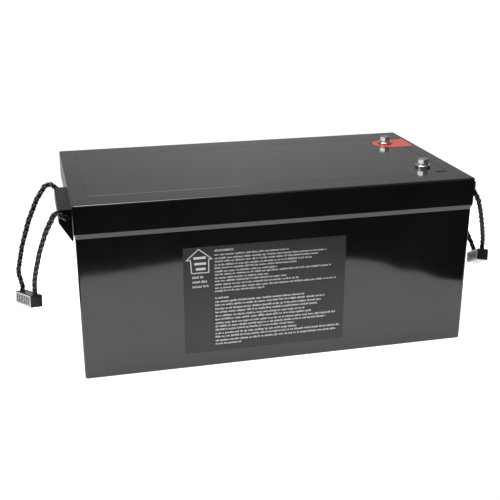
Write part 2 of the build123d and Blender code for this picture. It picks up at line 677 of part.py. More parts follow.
def build_bms_mosfets():
    with BuildPart() as mosfets:
        with BuildSketch(Plane.YZ.offset(PAD_X)):
            with Locations((0, MOSFET_Z)):
                with GridLocations(13.0, 22.0, 9, 2):
                    Rectangle(10.0, 15.0)
        extrude(amount=MOSFET_T)
    save("bms_mosfets", mosfets)


def build_bms_heatsink():
    with BuildPart() as heatsink:
        with BuildSketch(Plane.YZ.offset(HEATSINK_X)):
            with Locations((0, MOSFET_Z)):
                Rectangle(128.0, HEATSINK_H)
        extrude(amount=HEATSINK_T)
        with BuildSketch(Plane.YZ.offset(HEATSINK_X + HEATSINK_T)):
            with Locations((0, MOSFET_Z)):
                with GridLocations(FIN_PITCH, 0, FIN_N, 1):
                    Rectangle(FIN_T, HEATSINK_H)
        extrude(amount=FIN_H)
    save("bms_heatsink", heatsink)


def build_bms_screws():
    with BuildPart() as screws:
        for y in (-MOUNT_Y / 2, MOUNT_Y / 2):
            for z in (BMS_Z - MOUNT_Z / 2, BMS_Z + MOUNT_Z / 2):
                with BuildSketch(Plane.YZ.offset(BMS_X + SCREW_START)):
                    with Locations((y, z)):
                        Circle(2.0)
                extrude(amount=PAD_X - BMS_X - SCREW_START)
                with BuildSketch(Plane.YZ.offset(PAD_X)):
                    with Locations((y, z)):
                        Circle(3.8)
                extrude(amount=2.4)
    save("bms_screws", screws)


# ================================================================ leads and lugs
# stud centre on the seat, direction of the barrel, direction away from the seat, barrel rise
LUG_SEATS = [
    ((CELL_X[3], POST_Y, BAR_Z), (1, 0, 0), (0, 0, 1), LUG_TOP),
    ((CELL_X[0], POST_Y, BAR_Z), (0, 1, 0), (0, 0, 1), LUG_TOP),
    ((PAD_X, PAD_Y, PAD_Z), (0, 0, -1), (1, 0, 0), LUG_OUT),
    ((PAD_X, -PAD_Y, PAD_Z), (0, 0, -1), (1, 0, 0), LUG_OUT),
    ((TERM_X, TERM_Y, STUD_Z), (-1, 0, 0), (0, 0, -1), LUG_OUT),
    ((TERM_X, -TERM_Y, STUD_Z), (-1, 0, 0), (0, 0, -1), LUG_OUT)]

# name: centre-line points, and the bend radius at each inner point
LEADS = {
    "positive_lead": ([
        (CELL_X[3] + LEAD_AT, POST_Y, BAR_Z + LUG_TOP), (68.0, POST_Y, BAR_Z + LUG_TOP),
        (110.0, TERM_Y, LEAD_TERM_Z), (TERM_X - LEAD_AT, TERM_Y, LEAD_TERM_Z)], [25, 25]),
    "cell_negative_lead": ([
        (CELL_X[0], POST_Y + LEAD_AT, BAR_Z + LUG_TOP), (CELL_X[0], 104.0, BAR_Z + LUG_TOP),
        (-179.0, 108.0, 181.0), (92.0, 108.0, 181.0), (92.0, 104.0, 40.0),
        (LEAD_X, PAD_Y, 40.0), (LEAD_X, PAD_Y, PAD_Z - LEAD_AT)], [11, 14, 16, 16, 12]),
    "bms_negative_lead": ([
        (LEAD_X, -PAD_Y, PAD_Z - LEAD_AT), (LEAD_X, -PAD_Y, 36.0), (165.0, -TERM_Y, 36.0),
        (165.0, -TERM_Y, LEAD_TERM_Z), (TERM_X - LEAD_AT, -TERM_Y, LEAD_TERM_Z)], [14, 20, 17])}


def build_lead_lugs():
    with BuildPart() as lugs:
        for seat, along, up, rise in LUG_SEATS:
            flat = Plane(origin=seat, x_dir=along, z_dir=up)
            # palm
            with BuildSketch(flat):
                Circle(LUG_R)
                with Locations((9.0, 0)):
                    Rectangle(6.0, 9.0)
                Circle(LUG_HOLE_R, mode=Mode.SUBTRACT)
            extrude(amount=LUG_T)
            # upright between palm and barrel
            with BuildSketch(flat):
                with Locations((10.0, 0)):
                    Rectangle(4.0, 8.0)
            extrude(amount=rise + LUG_T)
            # barrel, bored for the lead
            back = Vector(*seat) + Vector(*along) * BARREL_AT + Vector(*up) * rise
            with BuildSketch(Plane(origin=back, z_dir=along)):
                Circle(BARREL_R)
            extrude(amount=BARREL_L)
            with BuildSketch(Plane(origin=back + Vector(*along) * BARREL_STOP, z_dir=along)):
                Circle(LEAD_R + 0.05)
            extrude(amount=12.5, mode=Mode.SUBTRACT)
    save("lead_lugs", lugs)


def build_lead_screws():
    with BuildPart() as screws:
        # through the board: shank, hexagon over the lug, hexagon behind the board
        for y in (PAD_Y, -PAD_Y):
            with BuildSketch(Plane.YZ.offset(PAD_X - 5.6)):
                with Locations((y, PAD_Z)):
                    Circle(2.9)
            extrude(amount=8.6)
            for x, height in ((PAD_X + LUG_T, 3.6), (PAD_X - 4.9, NUT_H)):
                with BuildSketch(Plane.YZ.offset(x)):
                    with Locations((y, PAD_Z)):
                        RegularPolygon(NUT_AF / 2, 6, major_radius=False)
                extrude(amount=height)
        # up into the terminals: shank, then head under the lug
        for y in (TERM_Y, -TERM_Y):
            with BuildSketch(Plane.XY.offset(STUD_Z - LUG_T)):
                with Locations((TERM_X, y)):
                    Circle(2.5)
            extrude(amount=10.5)
            with BuildSketch(Plane.XY.offset(STUD_Z - LUG_T - 3.4)):
                with Locations((TERM_X, y)):
                    RegularPolygon(4.0, 6, major_radius=False)
            extrude(amount=3.4)
    save("lead_screws", screws)


# ================================================================ balance wiring and probe
# sense wires: X of the end, side (-1 front, 1 back), lane Y across the stack, Y in the plug
TAPS = [
    (CELL_X[0] + 20.0, -1, -27.8, -4.5),
    (CELL_X[2] + 20.0, -1, -32.6, -7.5),
    (CELL_X[0], 1, 25.0, 1.5),
    (CELL_X[1] + 20.0, 1, 29.8, 4.5),
    (CELL_X[3] + 6.0, 1, 34.6, 7.5)]


def build_harness_plug():
    with BuildPart() as plug:
        with BuildSketch(Plane.YZ.offset(PAD_X)):
            with Locations((0, PLUG_Z + PLUG_H / 2)):
                RectangleRounded(PLUG_W, PLUG_H, 0.8)
        extrude(amount=PLUG_D)
        # wire holes in the top
        with BuildSketch(Plane.XY.offset(PLUG_Z + PLUG_H)):
            with Locations((PIN_X, 0)):
                with GridLocations(0, PIN_PITCH, 1, PIN_N):
                    Circle(0.95)
        extrude(amount=-4.0, mode=Mode.SUBTRACT)
    save("harness_plug", plug)


def build_balance_harness():
    with BuildPart() as harness:
        for end_x, side, lane_y, pin_y in TAPS:
            with BuildLine() as run:
                FilletPolyline((PIN_X, pin_y, PIN_Z), (PIN_X, pin_y, WIRE_Z),
                               (50.0, lane_y, WIRE_Z), (end_x, lane_y, WIRE_Z),
                               (end_x, 49.0 * side, WIRE_Z), radius=WIRE_BEND)
            with BuildSketch(start_plane(run.line)):
                Circle(WIRE_R)
            sweep()
    save("balance_harness", harness)


def build_temperature_probe():
    """Wire from the plug to a small bead over the cells."""
    with BuildPart() as probe:
        with BuildLine() as run:
            FilletPolyline((PIN_X, PROBE_Y, PIN_Z), (PIN_X, PROBE_Y, WIRE_Z),
                           (-96.0, PROBE_Y, WIRE_Z), radius=WIRE_BEND)
        with BuildSketch(start_plane(run.line)):
            Circle(PROBE_WIRE_R)
        sweep()
        with BuildSketch(Plane.YZ.offset(-104.0)):
            with Locations((PROBE_Y, STACK_TOP + 2.7)):
                Circle(1.6)
        extrude(amount=9.0)
    save("temperature_probe", probe)


# ================================================================ build everything
build_container()
build_lid()
build_lid_seal()
build_top_panel()
build_front_label()
build_positive_marker()
for pole, pole_y in (("positive", TERM_Y), ("negative", -TERM_Y)):
    build_terminal(pole, pole_y)
    build_flat_washer(pole, pole_y)
    build_spring_washer(pole, pole_y)
    build_bolt(pole, pole_y)

build_left_rope_core()
build_left_rope_loop()
build_right_rope_core()
save_tube("right_rope_loop", RIGHT_PATH, RIGHT_BENDS, ROPE_R)
build_clamp("left", LEFT_CLAMP, LEFT_PATH, LEFT_BENDS)
build_clamp("right", RIGHT_CLAMP, RIGHT_PATH, RIGHT_BENDS)

build_base_pad()
for i, x in enumerate(CELL_X):
    build_cell(f"cell_{i + 1}", x)
build_cell_posts()
build_cell_separators()
build_end_plate("end_plate_left", STACK_X0 - END_T / 2)
build_end_plate("end_plate_right", STACK_X1 + END_T / 2)
build_pack_straps()
build_side_pads()
build_series_busbars()
build_busbar_nuts()
build_insulation_board()

build_bms_carrier()
build_bms_board()
build_bms_mosfets()
build_bms_heatsink()
build_bms_screws()

build_lead_lugs()
for name, (points, bends) in LEADS.items():
    save_tube(name, points, bends, LEAD_R)
build_lead_screws()
build_harness_plug()
build_balance_harness()
build_temperature_probe()
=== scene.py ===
"""Looks for a battery pack: a black case with braided rope handles, a printed label and a studio.

The pack stands on z = 0 with its length along X.
"""
import bpy
import bmesh
import math
import random
import numpy as np
from mathutils import Matrix, Vector

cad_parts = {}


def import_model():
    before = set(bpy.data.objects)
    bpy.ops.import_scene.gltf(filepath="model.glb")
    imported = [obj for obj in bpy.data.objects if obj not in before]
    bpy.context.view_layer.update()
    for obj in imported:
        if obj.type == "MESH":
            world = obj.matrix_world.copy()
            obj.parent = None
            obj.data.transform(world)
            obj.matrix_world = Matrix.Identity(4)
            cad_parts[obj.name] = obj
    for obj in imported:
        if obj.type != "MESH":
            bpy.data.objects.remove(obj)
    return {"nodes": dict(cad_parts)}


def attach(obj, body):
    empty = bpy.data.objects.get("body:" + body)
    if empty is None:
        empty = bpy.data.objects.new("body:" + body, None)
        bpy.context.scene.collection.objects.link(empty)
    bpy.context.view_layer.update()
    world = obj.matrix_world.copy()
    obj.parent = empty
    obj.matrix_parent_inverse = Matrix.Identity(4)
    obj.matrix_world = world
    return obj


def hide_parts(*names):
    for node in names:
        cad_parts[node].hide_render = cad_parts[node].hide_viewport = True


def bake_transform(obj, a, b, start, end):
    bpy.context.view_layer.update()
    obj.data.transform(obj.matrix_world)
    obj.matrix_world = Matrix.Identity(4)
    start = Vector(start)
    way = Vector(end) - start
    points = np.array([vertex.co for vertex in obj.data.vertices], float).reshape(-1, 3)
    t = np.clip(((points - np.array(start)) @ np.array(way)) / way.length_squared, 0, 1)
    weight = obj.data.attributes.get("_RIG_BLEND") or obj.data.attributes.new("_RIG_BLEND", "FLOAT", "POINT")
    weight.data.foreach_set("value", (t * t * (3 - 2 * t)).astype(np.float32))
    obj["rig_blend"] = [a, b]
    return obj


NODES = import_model()["nodes"]
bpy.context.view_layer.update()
MM = 0.001


# ------------------------------------------------------------------ node trees
class Tree:
    """Short ways to add nodes; every value may be a number, a tuple or another node's socket."""

    def __init__(self, tree):
        self.tree = tree
        tree.nodes.clear()

    def put(self, socket, value):
        if isinstance(value, bpy.types.NodeSocket):
            self.tree.links.new(value, socket)
        else:
            if socket.type == "RGBA" and len(value) == 3:
                value = (*value, 1.0)
            socket.default_value = value

    def node(self, kind, inputs=None, **settings):
        node = self.tree.nodes.new("ShaderNode" + kind)
        for setting, value in settings.items():
            setattr(node, setting, value)
        for socket, value in (inputs or {}).items():
            self.put(node.inputs[socket], value)
        return node

    def math(self, operation, a, b=0.0, c=None):
        inputs = {0: a, 1: b} if c is None else {0: a, 1: b, 2: c}
        return self.node("Math", inputs, operation=operation).outputs[0]

    def plus(self, a, b):
        return self.math("ADD", a, b)

    def times(self, a, b):
        return self.math("MULTIPLY", a, b)

    def remap(self, value, of, to=(0, 1), smooth=False):
        """Carries the range `of` onto the range `to`, clamped at both ends."""
        inputs = {"Value": value, "From Min": of[0], "From Max": of[1],
                  "To Min": to[0], "To Max": to[1]}
        interpolation = "SMOOTHSTEP" if smooth else "LINEAR"
        node = self.node("MapRange", inputs, interpolation_type=interpolation, clamp=True)
        return node.outputs["Result"]


class Shade(Tree):
    """A Principled material whose textures follow object coordinates unless told otherwise."""

    SOCKETS = {"base": "Base Color", "rough": "Roughness", "metal": "Metallic", "ior": "IOR",
               "normal": "Normal", "coat_rough": "Coat Roughness", "spec": "Specular IOR Level"}

    def __init__(self, name):
        self.material = bpy.data.materials.new(name)
        self.material.use_nodes = True
        super().__init__(self.material.node_tree)
        self.output = self.node("OutputMaterial")
        self.principled = self.node("BsdfPrincipled")
        self.put(self.output.inputs[0], self.principled.outputs[0])
        self.place = self.node("TexCoord").outputs["Object"]

    def noise(self, scale, detail=3.0, rough=0.55, at=None):
        inputs = {"Vector": at or self.place, "Scale": scale, "Detail": detail, "Roughness": rough}
        return self.node("TexNoise", inputs).outputs["Fac"]

    def voronoi(self, scale):
        inputs = {"Vector": self.place, "Scale": scale}
        return self.node("TexVoronoi", inputs).outputs["Distance"]

    def wave(self, scale, distort, detail=1.0, at=None, **kind):
        inputs = {"Vector": at or self.place, "Scale": scale, "Distortion": distort,
                  "Detail": detail}
        return self.node("TexWave", inputs, **kind).outputs["Fac"]

    def mapped(self, at=None, scale=(1, 1, 1), turn=(0, 0, 0), shift=(0, 0, 0)):
        inputs = {"Vector": at or self.place, "Scale": scale, "Rotation": turn, "Location": shift}
        return self.node("Mapping", inputs).outputs[0]

    def mix(self, factor, a, b):
        # 6 and 7 are the colour inputs of the Mix node, 2 is its colour output
        return self.node("Mix", {"Factor": factor, 6: a, 7: b}, data_type="RGBA").outputs[2]

    def bump(self, height, distance, over=None):
        inputs = {"Strength": 1.0, "Distance": distance, "Height": height}
        if over is not None:
            inputs["Normal"] = over
        return self.node("Bump", inputs).outputs[0]

    def finish(self, **values):
        for name, value in values.items():
            self.put(self.principled.inputs[self.SOCKETS[name]], value)
        return self.material


# ------------------------------------------------------------------ kinds of surface
def gloss(name, dark, light, rough, peel, grain, dull_from=None):
    """Glossy moulded plastic: orange peel, fine grain, hairline scratches and a little dust.

    Beyond |x| = dull_from, in metres, the surface is dragged dull.
    """
    shade = Shade(name)
    broad = shade.noise(scale=9.0, detail=4, rough=0.6)
    middle = shade.noise(scale=60.0, detail=3, rough=0.6)
    fine = shade.noise(scale=1400.0, detail=2, rough=0.5)
    along_x = shade.mapped(scale=(14, 900, 900), turn=(0.05, 0.1, 0.32))
    along_y = shade.mapped(scale=(700, 11, 700), turn=(0.1, 0.03, -0.7))
    hair_x = shade.noise(scale=1.0, detail=2, rough=0.5, at=along_x)
    hair_y = shade.noise(scale=1.0, detail=2, rough=0.5, at=along_y)
    hair = shade.math("MAXIMUM", shade.remap(hair_x, of=(0.70, 0.78)),
                      shade.remap(hair_y, of=(0.71, 0.79)))
    dust = shade.remap(shade.voronoi(scale=420.0), of=(0.0, 0.10), to=(1.0, 0.0), smooth=True)
    dust = shade.times(dust, shade.remap(shade.noise(scale=33.0, detail=2), of=(0.55, 0.75)))

    base = shade.mix(shade.remap(broad, of=(0.35, 0.65)), dark, light)
    base = shade.mix(shade.times(dust, 0.03), base, (0.35, 0.34, 0.32))

    uneven = shade.plus(shade.times(broad, 0.6), shade.times(middle, 0.4))
    roughness = shade.remap(uneven, of=(0.35, 0.65), to=rough)
    roughness = shade.plus(roughness, shade.times(hair, 0.05))
    roughness = shade.plus(roughness, shade.times(dust, 0.25))

    normal = shade.bump(shade.noise(scale=220.0, detail=2, rough=0.4), distance=peel)
    normal = shade.bump(fine, distance=grain, over=normal)
    normal = shade.bump(hair, distance=1.2e-6, over=normal)

    spec = 0.5
    if dull_from is not None:
        x = shade.node("SeparateXYZ", {0: shade.place}).outputs[0]
        outside = shade.math("GREATER_THAN", shade.math("ABSOLUTE", x), dull_from)
        drag = shade.noise(scale=1.0, detail=3, rough=0.6, at=shade.mapped(scale=(420, 9, 60)))
        dulling = shade.remap(drag, of=(0.3, 0.7), to=(0.04, 0.22))
        roughness = shade.plus(roughness, shade.times(outside, dulling))
        spec = shade.remap(outside, of=(0, 1), to=(0.5, 0.13))
    return shade.finish(base=base, rough=roughness, ior=1.5, normal=normal, coat_rough=0.06,
                        spec=spec)


def satin(name, dark, light, rough, grain, grain_scale=1500.0, cells=False, spec=0.5):
    """Satin plastic, rubber, foam or film with a fine grain; `cells` makes the grain cellular."""
    shade = Shade(name)
    broad = shade.noise(scale=24.0, detail=4, rough=0.6)
    if cells:
        fine = shade.voronoi(scale=grain_scale)
    else:
        fine = shade.noise(scale=grain_scale, detail=3, rough=0.6)
    base = shade.mix(shade.remap(broad, of=(0.3, 0.7)), dark, light)
    base = shade.mix(shade.remap(fine, of=(0.25, 0.8), to=(0.0, 0.35)), base, light)
    roughness = shade.remap(shade.noise(scale=160.0), of=(0.3, 0.7), to=rough)
    waviness = shade.bump(shade.noise(scale=300.0, detail=2), distance=6e-6)
    return shade.finish(base=base, rough=roughness, ior=1.5, spec=spec,
                        normal=shade.bump(fine, distance=grain, over=waviness))


def metal(name, bright, tarnish, rough, stretch=None, centre=None, bump=3e-6, pit=0.0):
    """Metal tarnished in patches: turned about `centre`, brushed by `stretch`, or plain."""
    shade = Shade(name)
    patch = shade.remap(shade.noise(scale=140.0, detail=4, rough=0.65), of=(0.35, 0.7))
    if centre is not None:
        about = shade.mapped(shift=(-centre[0], -centre[1], 0))
        lines = shade.wave(scale=620.0, distort=0.6, at=about,
                           wave_type="RINGS", rings_direction="Z")
    elif stretch is not None:
        lines = shade.noise(scale=1.0, detail=3, rough=0.6, at=shade.mapped(scale=stretch))
    else:
        lines = shade.noise(scale=2200.0, detail=3, rough=0.6)
    base = shade.mix(shade.times(patch, 0.6), bright, tarnish)
    base = shade.mix(shade.remap(lines, of=(0.3, 0.8), to=(0.0, 0.25)), base, tarnish)
    uneven = shade.plus(shade.times(lines, 0.5), shade.times(patch, 0.5))
    normal = shade.bump(lines, distance=bump)
    if pit:
        pits = shade.remap(shade.voronoi(scale=900.0), of=(0, 0.2))
        normal = shade.bump(pits, distance=pit, over=normal)
    return shade.finish(base=base, metal=1.0, normal=normal,
                        rough=shade.remap(uneven, of=(0.2, 0.8), to=rough))


def woven(name, dark, light, density, rough, warp="X", weft="Z"):
    """Glass cloth in resin, or strap webbing, with its threads crossing on two axes."""
    shade = Shade(name)
    warps = shade.wave(scale=density / 6.28, distort=0.4, bands_direction=warp)
    wefts = shade.wave(scale=density / 6.28, distort=0.4, bands_direction=weft)
    weave = shade.times(warps, wefts)
    base = shade.mix(shade.remap(weave, of=(0.1, 0.9)), dark, light)
    stain = shade.remap(shade.noise(scale=30.0, detail=4), of=(0.4, 0.7), to=(0, 0.5))
    return shade.finish(base=shade.mix(stain, base, dark),
                        rough=shade.remap(weave, of=(0, 1), to=(rough, rough * 0.75)),
                        normal=shade.bump(weave, distance=1.5e-5))


# ------------------------------------------------------------------ mesh helpers
def add_object(name, data):
    thing = bpy.data.objects.new(name, data)
    bpy.context.scene.collection.objects.link(thing)
    return thing


def object_from(mesh, name):
    """Turns a bmesh of closed shells into an object in the scene."""
    bmesh.ops.recalc_face_normals(mesh, faces=mesh.faces)
    data = bpy.data.meshes.new(name)
    mesh.to_mesh(data)
    mesh.free()
    return add_object(name, data)


def bridge(mesh, lower, upper):
    """Quads between two rings of the same length."""
    for i in range(len(lower)):
        j = (i + 1) % len(lower)
        mesh.faces.new((lower[i], lower[j], upper[j], upper[i]))


# ------------------------------------------------------------------ rope handles, in millimetres
PATH_STEP = 0.5
SMOOTHINGS = 10
YARNS = 3             # in each of the two sets that turn opposite ways
PITCH = 27.0          # length of one full turn of a yarn
ORBIT = 1.85          # mean distance of a yarn from the rope's axis
WEAVE = 0.66          # how far a yarn rises and dips as it crosses the others
ORBIT_JITTER = 0.05
ANGLE_JITTER = 0.05   # radians
YARN_HALF_WIDTH = 1.55
YARN_HALF_THICKNESS = 0.92
YARN_SIDES = 10
CORE_RADIUS = 1.5
CORE_SIDES = 8
CREST_FROM = 1.9      # distance from the axis where "crest" leaves 0
CREST_SPAN = 1.3      # further distance over which it reaches 1

GRIP_HALF = 19.0      # from the middle of a grip to the rope's turn at either end
GRIP_SINK = -2.2      # height of the rope's run through the grip
GRIP_TURN = 6         # radius of that turn

# middle, along, broad: centre of the grip, its direction, and the normal of its broad faces
# rise, rise_radius: height of the corner above each turn, and its rounding
# corners: x, y, z, rounding radius; up the back leg, over the top, down the front leg
#          (a radius has no effect where the path runs straight)
# blend: x of the start and end of the blend from case to handle, in metres
# shine: specular level of the yarn crests; the right rope's lower value is painted shade, a darker copy of
# the same cord
HANDLES = {
    "left": dict(
        middle=(-304.3, -62.0, 83.7), along=(0.380, -0.907, 0.178), broad=(0.923, 0.365, -0.123),
        rise=14.0, rise_radius=10,
        corners=(
            (-314.8, -36.5, 110.0, 22), (-307.8, -25.5, 139.0, 30), (-297.2, -15.5, 169.0, 30),
            (-285.3, -7.0, 193.4, 25), (-273.3, -1.4, 209.6, 6), (-266.0, -1.0, 210.5, 3.6),
            (-254.6, -1.5, 199.8, 4.5), (-254.6, -117.5, 199.8, 4.5),
            (-266.0, -118.0, 210.5, 4.2), (-270.6, -116.4, 201.0, 8),
            (-278.4, -109.0, 183.5, 25), (-286.8, -98.5, 157.0, 30), (-293.0, -88.0, 130.0, 30),
            (-295.8, -79.6, 112.5, 25)),
        blend=(-0.257, -0.275), shine=0.58),
    "right": dict(
        middle=(299.1, -62.0, 86.2), along=(-0.147, -0.887, 0.438), broad=(0.970, -0.216, -0.112),
        rise=13.0, rise_radius=9,
        corners=(
            (300.5, -26.0, 107.0, 14), (293.0, -14.0, 128.0, 25), (280.0, -4.0, 156.0, 30),
            (268.0, -0.5, 180.0, 25), (254.6, 0.5, 199.8, 4.5), (254.6, -7.0, 199.8, 4.5),
            (254.6, -112.0, 199.8, 4.5), (254.6, -119.5, 199.8, 5.5),
            (264.6, -116.0, 185.0, 25), (274.8, -105.8, 165.0, 30), (285.8, -93.5, 138.5, 30),
            (295.5, -80.0, 116.5, 12)),
        # painted shade: the right rope's crests shine less than the left's
        blend=(0.255, 0.264), shine=0.24),
}


def unit(vector):
    return vector / np.linalg.norm(vector)


def lengths_along(path):
    steps = np.linalg.norm(np.diff(path, axis=0), axis=1)
    return np.concatenate([[0], np.cumsum(steps)])


def tangents(path):
    slopes = np.gradient(path, axis=0)
    return slopes / np.linalg.norm(slopes, axis=1)[:, None]


def rounded(corners, radii):
    """Evenly spaced points along a polyline whose inner corners are rounded."""
    corners = [np.array(corner, float) for corner in corners]
    points = [corners[0]]
    for before, corner, after, radius in zip(corners, corners[1:], corners[2:], radii):
        back, ahead = unit(before - corner), unit(after - corner)
        angle = math.acos(max(-1, min(1, float(back @ ahead))))
        if angle > math.pi - 1e-3:
            points.append(corner)
            continue
        centre = corner + unit(back + ahead) * (radius / math.sin(angle / 2))
        arc_start = corner + back * (radius / math.tan(angle / 2))
        outward = (arc_start - centre) / radius
        sweep = math.pi - angle
        pieces = max(4, int(sweep / 0.08))
        for k in range(pieces + 1):
            turn = sweep * k / pieces
            points.append(centre + radius * (outward * math.cos(turn) - back * math.sin(turn)))
    points.append(corners[-1])
    apart = [points[0]]
    for point in points[1:]:
        if np.linalg.norm(point - apart[-1]) > 1e-4:
            apart.append(point)
    apart = np.array(apart)
    lengths = lengths_along(apart)
    stations = np.linspace(0, lengths[-1], int(lengths[-1] / PATH_STEP) + 1)
    return np.stack([np.interp(stations, lengths, apart[:, axis]) for axis in range(3)], 1)


def rope_path(handle):
    """A loop from the middle of the grip, up the back leg, down the front leg and back."""
    middle, along, broad = (np.array(handle[key], float) for key in ("middle", "along", "broad"))
    along = unit(along)
    broad = unit(broad - (broad @ along) * along)
    up = np.cross(along, broad)

    def in_grip(distance, height):
        return middle + distance * along + height * up

    rise, rise_radius = handle["rise"], handle["rise_radius"]
    corners = [in_grip(0, GRIP_SINK), in_grip(-GRIP_HALF, GRIP_SINK), in_grip(-GRIP_HALF, rise),
               *(corner[:3] for corner in handle["corners"]),
               in_grip(GRIP_HALF, rise), in_grip(GRIP_HALF, GRIP_SINK), in_grip(0, GRIP_SINK)]
    radii = [GRIP_TURN, rise_radius, *(corner[3] for corner in handle["corners"]),
             rise_radius, GRIP_TURN]
    path = rounded(corners, radii)
    for _ in range(SMOOTHINGS):
        path[1:-1] = 0.25 * path[:-2] + 0.5 * path[1:-1] + 0.25 * path[2:]
    return path


def untwisted_normals(path):
    """Two normals at each point of a path, carried along it without twist."""
    ways = tangents(path)
    start = np.array([0.0, 0.0, 1.0])
    if abs(start @ ways[0]) > 0.9:
        start = np.array([1.0, 0.0, 0.0])
    normals = np.zeros_like(ways)
    normals[0] = unit(start - (start @ ways[0]) * ways[0])
    for i in range(1, len(path)):
        normals[i] = unit(normals[i - 1] - (normals[i - 1] @ ways[i]) * ways[i])
    return normals, np.cross(ways, normals)


def add_tube(mesh, path, half_width, half_thickness, thin_way, sides, axis=None):
    """A capped elliptical tube, thin along thin_way; crest stays 0 where no rope axis is given."""
    yarn = mesh.loops.layers.uv["yarn"]
    crest = mesh.verts.layers.float["crest"]
    ways = tangents(path)
    thin = thin_way - np.sum(thin_way * ways, axis=1)[:, None] * ways
    thin /= np.linalg.norm(thin, axis=1)[:, None]
    wide = np.cross(ways, thin)
    lengths = lengths_along(path)
    rings = []
    for i in range(len(path)):
        ring = []
        for k in range(sides):
            angle = 2 * math.pi * k / sides
            point = (path[i] + wide[i] * half_width * math.cos(angle)
                     + thin[i] * half_thickness * math.sin(angle))
            vertex = mesh.verts.new(point * MM)
            if axis is not None:
                height = (np.linalg.norm(point - axis[i]) - CREST_FROM) / CREST_SPAN
                vertex[crest] = float(np.clip(height, 0.0, 1.0))
            ring.append(vertex)
        rings.append(ring)
    for i in range(len(path) - 1):
        for k in range(sides):
            after = (k + 1) % sides
            face = mesh.faces.new((rings[i][k], rings[i][after],
                                   rings[i + 1][after], rings[i + 1][k]))
            face.smooth = True
            steps = ((k, i), (k + 1, i), (k + 1, i + 1), (k, i + 1))
            for loop, (around, station) in zip(face.loops, steps):
                loop[yarn].uv = (around / sides, lengths[station] * MM)
    for ring in (rings[0][::-1], rings[-1]):
        mesh.faces.new(ring).smooth = True


def braided_rope(name, path, draw):
    """A round cord plaited from two sets of yarns over a core."""
    normals, sideways = untwisted_normals(path)
    phase = 2 * math.pi * lengths_along(path) / PITCH
    mesh = bmesh.new()
    mesh.loops.layers.uv.new("yarn")
    mesh.verts.layers.float.new("crest")
    for hand in (1, -1):
        for k in range(YARNS):
            offset = 2 * math.pi * k / YARNS + draw.uniform(-ANGLE_JITTER, ANGLE_JITTER)
            angle = hand * phase + offset
            orbit = (ORBIT + hand * WEAVE * np.cos(YARNS * phase)
                     + draw.uniform(-ORBIT_JITTER, ORBIT_JITTER))
            outward = normals * np.cos(angle)[:, None] + sideways * np.sin(angle)[:, None]
            add_tube(mesh, path + outward * orbit[:, None], YARN_HALF_WIDTH,
                     YARN_HALF_THICKNESS, outward, YARN_SIDES, axis=path)
    add_tube(mesh, path, CORE_RADIUS, CORE_RADIUS, normals, CORE_SIDES)
    return object_from(mesh, name)


def rope_material(side, shine):
    """Black filaments along each yarn; the hollows between the yarns get painted shade, in darker colour and
    lower specular level.
    """
    shade = Shade(f"{side}_black_braided_cord")
    yarn = shade.node("UVMap", uv_map="yarn").outputs[0]
    filaments = shade.noise(scale=1.0, detail=3, rough=0.6,
                            at=shade.mapped(yarn, scale=(26, 420, 1)))
    twist = shade.wave(scale=1.0, distort=0.8, at=shade.mapped(yarn, scale=(9.0, 900.0, 1)),
                       bands_direction="DIAGONAL")
    worn = shade.remap(shade.noise(scale=260.0), of=(0.45, 0.75))
    height = shade.node("Attribute", attribute_name="crest").outputs["Fac"]
    crest = shade.remap(height, of=(0.30, 1.0), smooth=True)
    base = shade.mix(shade.remap(twist, of=(0.25, 0.95)),
                     (0.002, 0.002, 0.0022), (0.009, 0.009, 0.0095))
    base = shade.mix(shade.times(worn, 0.3), base, (0.035, 0.035, 0.035))
    # painted shade: the colour falls to near black where the crest height is low, in the hollows between the
    # yarns
    base = shade.mix(crest, (0.0006, 0.0006, 0.0006), base)
    relief = shade.plus(shade.times(filaments, 0.5), shade.times(twist, 0.5))
    # painted shade: the specular level also drops in the hollows
    return shade.finish(base=base, rough=shade.remap(filaments, of=(0.3, 0.7), to=(0.24, 0.38)),
                        spec=shade.remap(crest, of=(0, 1), to=(0.02, shine)),
                        normal=shade.bump(relief, distance=6e-5))


def build_ropes():
    draw = random.Random(7)
    ropes = {side: braided_rope(f"{side}_rope", rope_path(handle), draw)
             for side, handle in HANDLES.items()}
    for side, rope in ropes.items():
        start, end = HANDLES[side]["blend"]
        rope.data.materials.append(rope_material(side, HANDLES[side]["shine"]))
        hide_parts(f"{side}_rope_core", f"{side}_rope_loop")
        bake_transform(rope, "case", f"{side}_handle", start=(start, 0, 0), end=(end, 0, 0))


# ------------------------------------------------------------------ print on the front label, in mm
TEXT_LEFT = -84.5
# z of the row, x of its right end, height of its marks
TEXT_ROWS = (
    (152.0, -61.0, 2.3), (146.5, 8, 1.55), (142.0, 57, 1.55), (138.0, 46, 1.55),
    (133.5, 38, 1.55), (129.5, 19, 1.55), (125.0, -6, 1.55), (121.0, 64, 1.55),
    (116.5, -18, 1.55), (112.5, 5, 1.55), (108.0, 21, 1.55), (103.5, 70, 1.55),
    (99.5, -23, 1.55), (90.5, -67, 1.9), (85.5, 30, 1.75), (81.0, 55, 1.75),
    (76.0, 51, 1.75), (71.5, 45, 1.75), (66.5, 29, 1.75), (62.0, 38, 1.75),
    (57.0, 71, 1.75), (52.5, 58, 1.75), (48.0, 17, 1.75), (43.0, 20, 1.75),
    (38.5, 77, 1.75), (33.5, 73, 1.75), (29.0, -51, 1.75))
CAPTION_LEFT = -112
CAPTION_HEIGHT = 2.3
# z of the row, x of its right end; these stand below the arrow
CAPTION_ROWS = ((119.5, -98.5), (113.5, -93.5), (107.5, -92))
# x, z of the corners of an upward arrow
ARROW = ((-104.0, 155.6), (-88.0, 142.2), (-91.9, 142.2), (-91.9, 125.2), (-112.9, 125.2),
         (-113.9, 142.2), (-118.9, 142.2))
ARROW_LINE = 1.15
